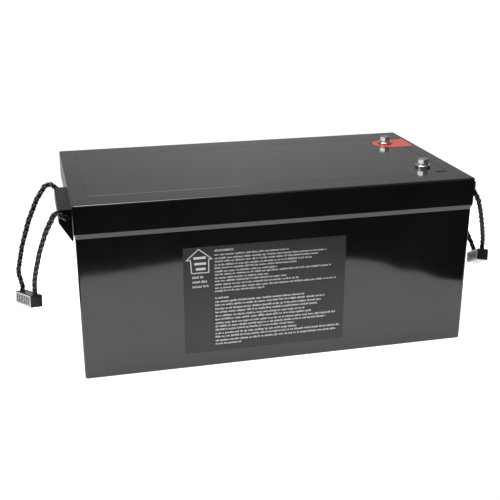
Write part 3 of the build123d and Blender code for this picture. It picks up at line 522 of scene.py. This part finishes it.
# middle z, left x, right x of the plain bars inside the arrow
ARROW_BARS = ((144.4, -110.4, -95.2), (137.0, -109.4, -95.2), (130.2, -107.6, -95.8))
ARROW_BAR_HALF = 1.5
INK_RAISED = 0.00008    # metres in front of the label's face
INK_SUNK = 0.00001      # metres behind it
LABEL_EDGE = 0.004      # metres of the label's foot and top in which its face is measured


def label_plane():
    """z of the label's foot, y of its face there, and the face's slope in y over z."""
    points = np.array([vertex.co for vertex in NODES["front_label"].data.vertices])
    z = points[:, 2]
    foot, top = z.min(), z.max()
    foot_y = points[z < foot + LABEL_EDGE][:, 1].min()
    top_y = points[z > top - LABEL_EDGE][:, 1].min()
    return foot, foot_y, (top_y - foot_y) / (top - foot)


LABEL_FOOT, LABEL_FOOT_Y, LABEL_SLOPE = label_plane()


def ink_plate(mesh, outline):
    """A thin closed plate; outline is (x, z) points, anticlockwise seen from the front."""
    back, front = [], []
    for x, z in outline:
        x, z = x * MM, z * MM
        y = LABEL_FOOT_Y + LABEL_SLOPE * (z - LABEL_FOOT)
        back.append(mesh.verts.new((x, y + INK_SUNK, z)))
        front.append(mesh.verts.new((x, y - INK_RAISED, z)))
    mesh.faces.new(front)
    mesh.faces.new(back[::-1])
    bridge(mesh, back, front)


def ink_bar(mesh, left, right, bottom, top):
    ink_plate(mesh, [(left, bottom), (right, bottom), (right, top), (left, top)])


def ink_stroke(mesh, start, end, width):
    """A straight line whose ends run on a little under half its width."""
    start, end = np.array(start, float), np.array(end, float)
    along = unit(end - start)
    half = np.array([-along[1], along[0]]) * width / 2
    start, end = start - along * width * 0.42, end + along * width * 0.42
    ink_plate(mesh, [start - half, end - half, end + half, start + half])


def row_of_marks(mesh, left, right, z, height, seed):
    """Upright ticks in word-length groups: they stand for text and spell nothing."""
    draw = random.Random(seed)
    x = left
    while x < right - 1.0:
        for _ in range(draw.choice((2, 3, 3, 4, 5, 6, 7, 8, 9))):
            width = draw.uniform(0.62, 0.95)
            if x + width > right:
                break
            rise = height * (1.35 if draw.random() < 0.28 else 1.0)
            drop = -height * 0.3 if draw.random() < 0.1 else 0.0
            ink_bar(mesh, x, x + width, z - height / 2 + drop, z - height / 2 + rise)
            x += width + draw.uniform(0.42, 0.6)
        x += draw.uniform(0.9, 1.5)


def ink_material():
    shade = Shade("light_grey_ink")
    cover = shade.remap(shade.noise(scale=700.0), of=(0.35, 0.7))
    return shade.finish(
        base=shade.mix(cover, (0.56, 0.56, 0.56), (0.38, 0.38, 0.38)),
        rough=shade.remap(shade.noise(scale=300.0, detail=2), of=(0.3, 0.7), to=(0.4, 0.6)),
        normal=shade.bump(shade.noise(scale=2500.0, detail=2), distance=6e-6))


def build_label_print():
    mesh = bmesh.new()
    for i, (z, right, height) in enumerate(TEXT_ROWS):
        row_of_marks(mesh, TEXT_LEFT, right, z, height, seed=100 + i)
    for i, (z, right) in enumerate(CAPTION_ROWS):
        row_of_marks(mesh, CAPTION_LEFT, right, z, CAPTION_HEIGHT, seed=300 + i)
    for start, end in zip(ARROW, ARROW[1:] + ARROW[:1]):
        ink_stroke(mesh, start, end, ARROW_LINE)
    for z, left, right in ARROW_BARS:
        ink_bar(mesh, left, right, z - ARROW_BAR_HALF, z + ARROW_BAR_HALF)
    marks = object_from(mesh, "label_print")
    marks.data.materials.append(ink_material())
    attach(marks, "case")


# ------------------------------------------------------------------ polarity bar by the negative bolt, mm
BAR_X = (213.4, 226.2)
BAR_Y = (-95.6, -91.6)
BAR_BOTTOM, BAR_TOP = 219.95, 220.22
BAR_CORNER = 0.8
BAR_CORNER_STEPS = 4
BAR_BEVEL = 0.08               # height of the sloping rim
BAR_TOP_SCALE = (0.985, 0.95)  # size of the top in x and y against the foot


def bar_material():
    shade = Shade("bar_black_matt")
    mottle = shade.noise(scale=1200.0, detail=3, rough=0.6)
    return shade.finish(
        base=shade.mix(shade.remap(mottle, of=(0.3, 0.7)),
                       (0.004, 0.004, 0.004), (0.010, 0.010, 0.010)),
        rough=shade.remap(mottle, of=(0.3, 0.7), to=(0.55, 0.75)),
        spec=0.2, normal=shade.bump(mottle, distance=1.0e-5))


def build_negative_bar():
    left, right = BAR_X[0] + BAR_CORNER, BAR_X[1] - BAR_CORNER
    front, back = BAR_Y[0] + BAR_CORNER, BAR_Y[1] - BAR_CORNER
    outline = []
    for x, y, first in ((right, back, 0), (left, back, 90), (left, front, 180),
                        (right, front, 270)):
        for k in range(BAR_CORNER_STEPS + 1):
            angle = math.radians(first + 90 / BAR_CORNER_STEPS * k)
            outline.append((x + BAR_CORNER * math.cos(angle), y + BAR_CORNER * math.sin(angle)))

    mesh = bmesh.new()
    middle_x, middle_y = sum(BAR_X) / 2, sum(BAR_Y) / 2

    def ring(z, scale_x=1.0, scale_y=1.0):
        return [mesh.verts.new(((middle_x + (x - middle_x) * scale_x) * MM,
                                (middle_y + (y - middle_y) * scale_y) * MM, z * MM))
                for x, y in outline]

    foot, rim, top = ring(BAR_BOTTOM), ring(BAR_TOP - BAR_BEVEL), ring(BAR_TOP, *BAR_TOP_SCALE)
    bridge(mesh, foot, rim)
    bridge(mesh, rim, top)
    mesh.faces.new(top)
    mesh.faces.new(foot[::-1])
    bar = object_from(mesh, "negative_bar")
    bar.data.materials.append(bar_material())
    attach(bar, "case")


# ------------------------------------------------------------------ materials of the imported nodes
# Each row: node, material, two colours, roughness range, options.
CASE_BLACK = ((0.0028, 0.0029, 0.0034), (0.0046, 0.0047, 0.0054))
GLOSSES = (
    ("container", "case_black_gloss", *CASE_BLACK, (0.06, 0.105), dict(peel=3.0e-6, grain=3e-7)),
    ("lid", "lid_black_gloss", *CASE_BLACK, (0.08, 0.13),
     dict(peel=2.2e-6, grain=3e-7, dull_from=0.24925)),
    ("top_panel", "panel_black_gloss", (0.0045, 0.0046, 0.005), (0.007, 0.007, 0.0075),
     (0.09, 0.15), dict(peel=2.0e-6, grain=4e-7)),
)
SATINS = (
    ("front_label", "label_film_dark_grey", (0.0165, 0.0165, 0.0175), (0.020, 0.020, 0.021),
     (0.30, 0.36), dict(grain=2.5e-6, spec=0.25)),
    ("lid_seal", "seal_grey_adhesive", (0.05, 0.05, 0.052), (0.09, 0.09, 0.09),
     (0.5, 0.7), dict(grain=4e-5, grain_scale=500.0)),
    ("base_pad", "pad_black_foam", (0.015, 0.015, 0.015), (0.05, 0.05, 0.05),
     (0.8, 0.95), dict(grain=2e-4, grain_scale=700.0, cells=True)),
    ("side_pads", "pads_charcoal_foam", (0.02, 0.02, 0.021), (0.06, 0.06, 0.062),
     (0.8, 0.95), dict(grain=2.5e-4, grain_scale=600.0, cells=True)),
    ("bms_carrier", "carrier_black_nylon", (0.012, 0.012, 0.012), (0.03, 0.03, 0.03),
     (0.45, 0.6), dict(grain=2.5e-5, grain_scale=1100.0)),
    ("bms_mosfets", "mosfets_black_epoxy", (0.010, 0.010, 0.011), (0.022, 0.022, 0.023),
     (0.4, 0.5), dict(grain=8e-6, grain_scale=2600.0)),
    ("positive_lead", "positive_lead_silicone", (0.40, 0.015, 0.010), (0.52, 0.03, 0.02),
     (0.42, 0.6), dict(grain=1.5e-5, grain_scale=700.0)),
    ("cell_negative_lead", "cell_negative_lead_silicone", (0.010, 0.010, 0.010),
     (0.03, 0.03, 0.03), (0.42, 0.6), dict(grain=1.5e-5, grain_scale=700.0)),
    ("bms_negative_lead", "bms_negative_lead_silicone", (0.012, 0.012, 0.013),
     (0.035, 0.035, 0.036), (0.42, 0.6), dict(grain=1.5e-5, grain_scale=700.0)),
    ("harness_plug", "plug_white_nylon", (0.62, 0.60, 0.54), (0.72, 0.70, 0.64),
     (0.38, 0.5), dict(grain=8e-6)),
    ("balance_harness", "sense_wires_white", (0.50, 0.49, 0.46), (0.62, 0.60, 0.57),
     (0.4, 0.55), dict(grain=1e-5, grain_scale=900.0)),
    ("temperature_probe", "probe_black_epoxy", (0.012, 0.012, 0.012), (0.03, 0.03, 0.03),
     (0.3, 0.5), dict(grain=1e-5, grain_scale=900.0)),
)
METALS = (
    ("cell_posts", "posts_aluminium", (0.78, 0.78, 0.77), (0.62, 0.62, 0.62),
     (0.22, 0.4), dict(pit=6e-6)),
    ("series_busbars", "busbars_nickelled_copper", (0.72, 0.70, 0.66), (0.60, 0.50, 0.42),
     (0.2, 0.38), dict(stretch=(30, 1900, 1900))),
    ("busbar_nuts", "nuts_stainless", (0.6, 0.6, 0.59), (0.42, 0.42, 0.42), (0.2, 0.34), {}),
    ("bms_heatsink", "heatsink_aluminium", (0.55, 0.56, 0.57), (0.42, 0.43, 0.44),
     (0.3, 0.45), dict(stretch=(1900, 30, 1900))),
    ("bms_screws", "board_screws_zinc", (0.66, 0.67, 0.70), (0.48, 0.50, 0.55),
     (0.2, 0.35), {}),
    ("lead_lugs", "lugs_tinned_copper", (0.70, 0.68, 0.65), (0.55, 0.51, 0.47),
     (0.25, 0.4), {}),
    ("lead_screws", "lead_screws_stainless", (0.62, 0.62, 0.61), (0.45, 0.45, 0.44),
     (0.18, 0.32), {}),
)
# The same row for each part of a terminal stack, with the pole's name put before both names.
TERMINAL_METALS = (
    ("terminal", "terminal_nickel", (0.60, 0.58, 0.54), (0.45, 0.43, 0.39), (0.16, 0.3), {}),
    ("flat_washer", "washer_steel", (0.62, 0.62, 0.61), (0.45, 0.45, 0.45), (0.14, 0.28), {}),
    ("spring_washer", "spring_washer_steel", (0.55, 0.55, 0.54), (0.36, 0.36, 0.36),
     (0.18, 0.34), {}),
    ("bolt", "bolt_stainless", (0.50, 0.49, 0.475), (0.30, 0.30, 0.29), (0.05, 0.13),
     dict(bump=2e-6)),
)
TERMINAL_X, TERMINAL_Y = 0.207, 0.0665   # the negative terminal stands at -TERMINAL_Y
# Node, material, two colours, options.
WOVENS = (
    ("cell_separators", "separators_glass_epoxy", (0.42, 0.36, 0.16), (0.58, 0.52, 0.28),
     dict(density=1600.0, rough=0.5)),
    ("end_plate_left", "end_plate_left_glass_epoxy", (0.10, 0.20, 0.11), (0.16, 0.28, 0.16),
     dict(density=1500.0, rough=0.45, warp="Y")),
    ("end_plate_right", "end_plate_right_glass_epoxy", (0.10, 0.19, 0.11), (0.17, 0.28, 0.16),
     dict(density=1500.0, rough=0.45, warp="Y")),
    ("pack_straps", "straps_green_polyester", (0.03, 0.16, 0.07), (0.06, 0.26, 0.12),
     dict(density=3200.0, rough=0.5)),
    ("insulation_board", "cover_board_epoxy", (0.55, 0.50, 0.30), (0.68, 0.63, 0.42),
     dict(density=1700.0, rough=0.5, weft="Y")),
)


def marker_material():
    shade = Shade("positive_marker_red")
    tone = shade.noise(scale=28.0, detail=3, rough=0.6)
    speck = shade.noise(scale=900.0, detail=3, rough=0.6)
    red = shade.mix(shade.remap(tone, of=(0.35, 0.65)),
                    (0.36, 0.034, 0.020), (0.42, 0.055, 0.034))
    red = shade.mix(shade.remap(speck, of=(0.55, 0.8), to=(0, 0.4)), red, (0.48, 0.12, 0.08))
    return shade.finish(base=red, rough=shade.remap(speck, of=(0.3, 0.7), to=(0.24, 0.36)),
                        normal=shade.bump(speck, distance=4e-6))


def grip_material(name, broad):
    """Black, with a painted reflection on the broad faces: pale streaky grey standing in for a bright side
    light.
    """
    shade = Shade(name)
    streak = shade.noise(scale=1.0, detail=4, rough=0.65, at=shade.mapped(scale=(150, 150, 620)))
    reflection_streaks = shade.noise(scale=1.0, detail=3, rough=0.6,
                      at=shade.mapped(scale=(240, 240, 900), turn=(0.3, 0.2, 0.1)))
    black = shade.mix(shade.remap(streak, of=(0.4, 0.75)),
                      (0.005, 0.005, 0.0055), (0.018, 0.018, 0.0185))
    facing = shade.node("TexCoord").outputs["Normal"]
    dot = shade.node("VectorMath", {0: facing, 1: broad}, operation="DOT_PRODUCT")
    face = shade.remap(shade.math("ABSOLUTE", dot.outputs["Value"]), of=(0.93, 0.97))
    # painted reflection: the broad faces are coloured pale grey in place of the bright side light they
    # reflect
    painted_reflection = shade.mix(shade.remap(reflection_streaks, of=(0.35, 0.68)), (0.12, 0.12, 0.12), (0.41, 0.41, 0.41))
    roughness = shade.remap(streak, of=(0.3, 0.75), to=(0.12, 0.30))
    waviness = shade.bump(shade.noise(scale=400.0, detail=2), distance=8e-6)
    return shade.finish(base=shade.mix(face, black, painted_reflection), ior=1.6,
                        rough=shade.plus(roughness, shade.times(face, 0.12)),
                        normal=shade.bump(streak, distance=9e-6, over=waviness))


def board_material():
    """A green circuit board with winding traces and tinned pads."""
    shade = Shade("circuit_board_green")
    trace = shade.wave(scale=170.0, distort=6.0, detail=0, bands_direction="Z")
    pads = shade.remap(shade.voronoi(scale=260.0), of=(0.0, 0.16), to=(1, 0))
    green = shade.mix(shade.remap(trace, of=(0.45, 0.55)),
                      (0.006, 0.085, 0.035), (0.012, 0.14, 0.055))
    return shade.finish(base=shade.mix(pads, green, (0.62, 0.60, 0.55)), rough=0.3,
                        normal=shade.bump(shade.remap(trace, of=(0.4, 0.6)), distance=2e-5))


def paint(node, material):
    slots = NODES[node].data.materials
    slots.clear()
    slots.append(material)


def paint_nodes():
    for surface, rows in ((gloss, GLOSSES), (satin, SATINS), (metal, METALS), (woven, WOVENS)):
        for node, *look, options in rows:
            paint(node, surface(*look, **options))
    for pole, y in (("positive", TERMINAL_Y), ("negative", -TERMINAL_Y)):
        for part, name, *look, options in TERMINAL_METALS:
            paint(f"{pole}_{part}",
                  metal(f"{pole}_{name}", *look, centre=(TERMINAL_X, y), **options))
    for i in range(1, 5):
        # each cell's wrap is a little lighter than the last
        lift = 0.02 * i
        paint(f"cell_{i}", satin(
            f"cell_{i}_blue_wrap", (0.010, 0.06 + lift * 0.3, 0.22 + lift),
            (0.013, 0.08 + lift * 0.3, 0.27 + lift),
            rough=(0.24, 0.36), grain=8e-6, grain_scale=260.0))
    for side, handle in HANDLES.items():
        for half in ("outer", "inner"):
            paint(f"{side}_clamp_{half}",
                  grip_material(f"{side}_{half}_grip_black", handle["broad"]))
    paint("positive_marker", marker_material())
    paint("bms_board", board_material())


# ------------------------------------------------------------------ studio, in metres
FLOOR_Z = -0.0002
# x, y around the floor's edge
FLOOR = (
    (-0.455, -0.40), (-0.40, -0.432), (-0.30, -0.440), (-0.226, -0.460), (-0.150, -0.471),
    (-0.066, -0.490), (0.03, -0.480), (0.12, -0.462), (0.215, -0.432), (0.245, -0.411),
    (0.262, -0.376), (0.291, -0.360), (0.307, -0.328), (0.335, -0.312), (0.60, -0.300),
    (0.60, 0.43), (-0.85, 0.43), (-0.85, 0.03), (-0.46, 0.0))
# height (0 straight down, 1 straight up), brightness of the room there
ROOM_LEVELS = ((0.0, 0.03), (0.40, 0.035), (0.47, 0.33), (0.50, 0.40), (0.60, 0.48),
               (0.64, 0.44), (0.68, 0.40), (0.80, 0.30), (1.0, 0.55))
WHITE = (1, 1, 1)
CAMERA_PLACE = (-0.29248, -1.15057, 0.52756)
CAMERA_RIGHT = (0.97078, -0.23997, -0.00038)
CAMERA_UP = (0.08179, 0.32942, 0.94063)
CAMERA_BACK = (-0.22560, -0.91318, 0.33942)


def floor_material():
    """A pale matt floor that also glows a little."""
    shade = Shade("floor_pale")
    tone = shade.remap(shade.noise(scale=6.0, detail=2), of=(0.3, 0.7))
    material = shade.finish(base=shade.mix(tone, (0.86, 0.86, 0.86), (0.90, 0.90, 0.90)),
                            rough=0.9, spec=0.1)
    glow = shade.node("Emission", {"Color": (0.97, 1.0, 1.025), "Strength": 0.9})
    both = shade.node("AddShader", {0: shade.principled.outputs[0], 1: glow.outputs[0]})
    shade.put(shade.output.inputs[0], both.outputs[0])
    return material


def build_floor():
    data = bpy.data.meshes.new("floor")
    data.from_pydata([(x, y, FLOOR_Z) for x, y in FLOOR], [], [list(range(len(FLOOR)))])
    floor = add_object("floor", data)
    data.materials.append(floor_material())


def build_world():
    """The camera sees plain white; the pack is lit by a shaped grey room."""
    world = bpy.data.worlds.new("studio")
    bpy.context.scene.world = world
    world.use_nodes = True
    tree = Tree(world.node_tree)
    output = tree.node("OutputWorld")
    direction = tree.node("TexCoord").outputs["Generated"]
    x, y, z = tree.node("SeparateXYZ", {0: direction}).outputs

    def step(value, start, end):
        return tree.remap(value, of=(start, end), smooth=True)

    def dimmed(level, mask, amount):
        return tree.times(level, tree.math("SUBTRACT", 1.0, tree.times(mask, amount)))

    ramp = tree.node("ValToRGB", {0: tree.remap(z, of=(-1, 1))})
    stops = ramp.color_ramp.elements
    for stop, (height, bright) in zip(stops, (ROOM_LEVELS[0], ROOM_LEVELS[-1])):
        stop.position, stop.color = height, (bright, bright, bright, 1)
    for height, bright in ROOM_LEVELS[1:-1]:
        stops.new(height).color = (bright, bright, bright, 1)
    level = tree.node("SeparateColor", {0: ramp.outputs[0]}).outputs[0]

    # behind the pack the backdrop is brightest in the middle and falls away to the sides
    off_middle = tree.math("ABSOLUTE", tree.math("SUBTRACT", x, 0.22))
    backdrop = tree.math("MAXIMUM", tree.math("MULTIPLY_ADD", off_middle, -1.3, 1.10), 0.66)
    behind = tree.times(step(y, 0.2, 0.6), step(z, 0.05, 0.15))
    change = tree.times(behind, tree.math("SUBTRACT", backdrop, 1.0))
    level = tree.times(level, tree.plus(change, 1.0))
    # the room in front is dim above the table
    front = tree.times(step(y, -0.2, -0.8), step(z, 0.34, 0.46))
    level = dimmed(level, front, 0.7)
    # a dark flag stands to the right
    flag = tree.times(tree.times(step(x, 0.25, 0.6), step(y, 0.7, 0.45)), step(y, -0.62, -0.40))
    level = dimmed(level, flag, 0.9)
    # the table runs on behind the pack as a grey sweep
    sweep = tree.times(step(y, 0.4, 0.75), step(z, -0.02, -0.12))
    level = tree.plus(level, tree.times(sweep, 0.34))

    room = tree.node("Background", {"Color": WHITE, "Strength": level})
    seen = tree.node("Background", {"Color": WHITE, "Strength": 1.05})
    to_camera = tree.node("LightPath").outputs["Is Camera Ray"]
    mixed = tree.node("MixShader", {0: to_camera, 1: room.outputs[0], 2: seen.outputs[0]})
    tree.put(output.inputs[0], mixed.outputs[0])


def softbox(name, place, target, width, height, power):
    light = bpy.data.lights.new(name, "AREA")
    light.shape = "RECTANGLE"
    light.size = width
    light.size_y = height
    light.energy = power
    box = add_object(name, light)
    box.location = place
    box.rotation_mode = "QUATERNION"
    box.rotation_quaternion = (Vector(target) - Vector(place)).to_track_quat("-Z", "Y")


def build_camera():
    lens = bpy.data.cameras.new("camera")
    camera = add_object("camera", lens)
    pose = Matrix((CAMERA_RIGHT, CAMERA_UP, CAMERA_BACK)).transposed().to_4x4()
    pose.translation = CAMERA_PLACE
    camera.matrix_world = pose
    lens.sensor_width = 36.0
    lens.lens = 66.703
    lens.clip_start = 0.05
    lens.clip_end = 50
    bpy.context.scene.camera = camera


build_ropes()
build_label_print()
build_negative_bar()
paint_nodes()
build_floor()
build_world()
softbox("softbox_top", place=(-0.25, -0.25, 1.5), target=(0, 0, 0),
        width=1.1, height=0.8, power=34)
softbox("softbox_left", place=(-1.5, -0.5, 0.9), target=(0, 0, 0.1),
        width=0.7, height=0.7, power=8)
build_camera()
bpy.context.scene.view_settings.view_transform = "Standard"
bpy.context.scene.view_settings.look = "None"

bpy.context.view_layer.update()
